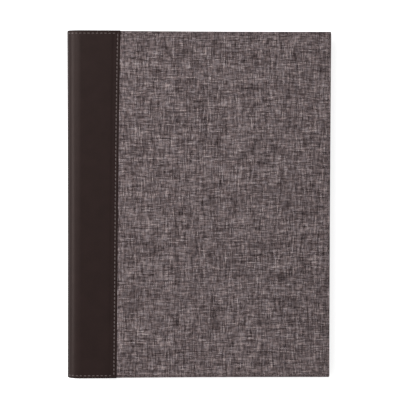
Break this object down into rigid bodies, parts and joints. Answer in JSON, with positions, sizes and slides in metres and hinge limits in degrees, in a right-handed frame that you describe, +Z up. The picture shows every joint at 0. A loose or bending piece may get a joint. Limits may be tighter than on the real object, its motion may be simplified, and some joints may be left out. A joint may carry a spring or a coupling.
{
  "type": "padfolio",
  "caption": "Closed padfolio lying flat: fabric covers, dark leatherette spine strip with sewn edges, writing pad, pockets and pen loop inside.",
  "frame": {"origin": "under the middle of the closed folder, on the surface that it lies on", "axes": "+X from the spine to the fore edge, +Y from the tail to the head of the page, +Z up through the thickness, out of the front cover"},
  "size_m": [0.241, 0.318, 0.0189],
  "materials": {
    "fabric": "heathered brown-grey slub weave, matt",
    "leather": "dark brown leatherette, fine grain, satin",
    "lining": "plain dark woven lining, matt",
    "board": "grey-brown binder's board",
    "card": "brown chipboard",
    "paper": "white ruled writing paper",
    "tape": "dark binding tape, matt",
    "elastic": "ribbed dark elastic webbing"
  },
  "bodies": {
    "back_cover": {"back_leather": "leather", "back_fabric": "fabric", "back_board": "board", "back_lining": "lining", "pad_pocket": "lining", "pad_backing": "card", "pad_sheets": "paper", "pad_binding": "tape", "pen_loop": "elastic"},
    "spine": {"spine_leather": "leather", "spine_lining": "lining"},
    "front_cover": {"front_leather": "leather", "front_fabric": "fabric", "front_board": "board", "front_lining": "lining", "document_pocket": "lining", "card_pocket_upper": "leather", "card_pocket_middle": "leather", "card_pocket_lower": "leather"}
  },
  "joints": [
    {"name": "back_hinge", "type": "hinge", "parent": "back_cover", "child": "spine", "pos_m": [-0.11815, 0, 0.00235], "axis": [0, -1, 0], "range_deg": [0, 90]},
    {"name": "front_hinge", "type": "hinge", "parent": "spine", "child": "front_cover", "pos_m": [-0.11815, 0, 0.01655], "axis": [0, -1, 0], "range_deg": [0, 90]}
  ]
}
